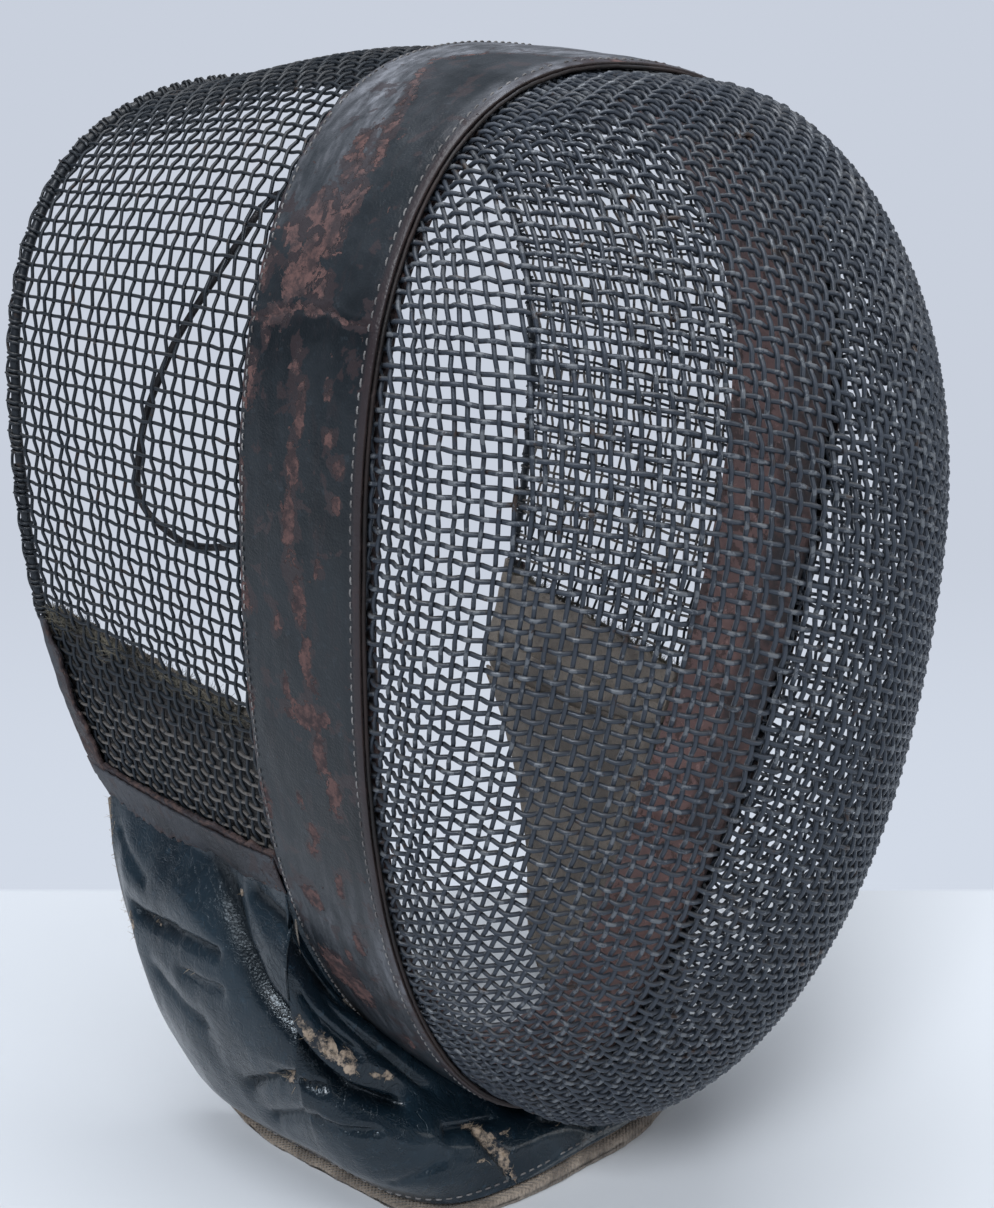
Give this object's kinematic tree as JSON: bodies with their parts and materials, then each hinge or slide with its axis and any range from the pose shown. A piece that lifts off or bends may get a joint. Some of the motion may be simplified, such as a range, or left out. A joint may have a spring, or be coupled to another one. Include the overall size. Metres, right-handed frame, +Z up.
{
  "type": "fencing mask",
  "caption": "Old fencing mask with a domed wire face guard, an open wire hood, a broad leather band and a padded leather bib that it stands on.",
  "frame": {"origin": "on the surface the bib stands on, under the middle of the mask's own box", "axes": "+Z up, the wearer faces -Y, the hood opens towards +Y, the strap is on the -X side"},
  "size_m": [0.2116, 0.228, 0.3325],
  "materials": {
    "painted_wire": "satin",
    "band_leather": "satin",
    "piping_leather": "matte",
    "lining_leather": "matte",
    "trim_leather": "matte",
    "felt": "matte",
    "pad_leather": "gloss",
    "canvas": "matte",
    "strap_leather": "satin"
  },
  "bodies": {
    "root": {"front_mesh": "painted_wire", "side_mesh": "painted_wire", "rear_rim": "painted_wire", "leather_band": "band_leather", "band_piping": "piping_leather", "band_lining": "lining_leather", "chin_pad": "lining_leather", "lower_trim_left": "trim_leather", "lower_trim_right": "trim_leather", "cheek_lining_left": "felt", "cheek_lining_right": "felt", "cheek_binding_left": "trim_leather", "cheek_binding_right": "trim_leather", "bib_pad": "pad_leather", "bib_backing": "canvas", "bib_binding": "canvas", "head_strap": "strap_leather"}
  },
  "joints": []
}
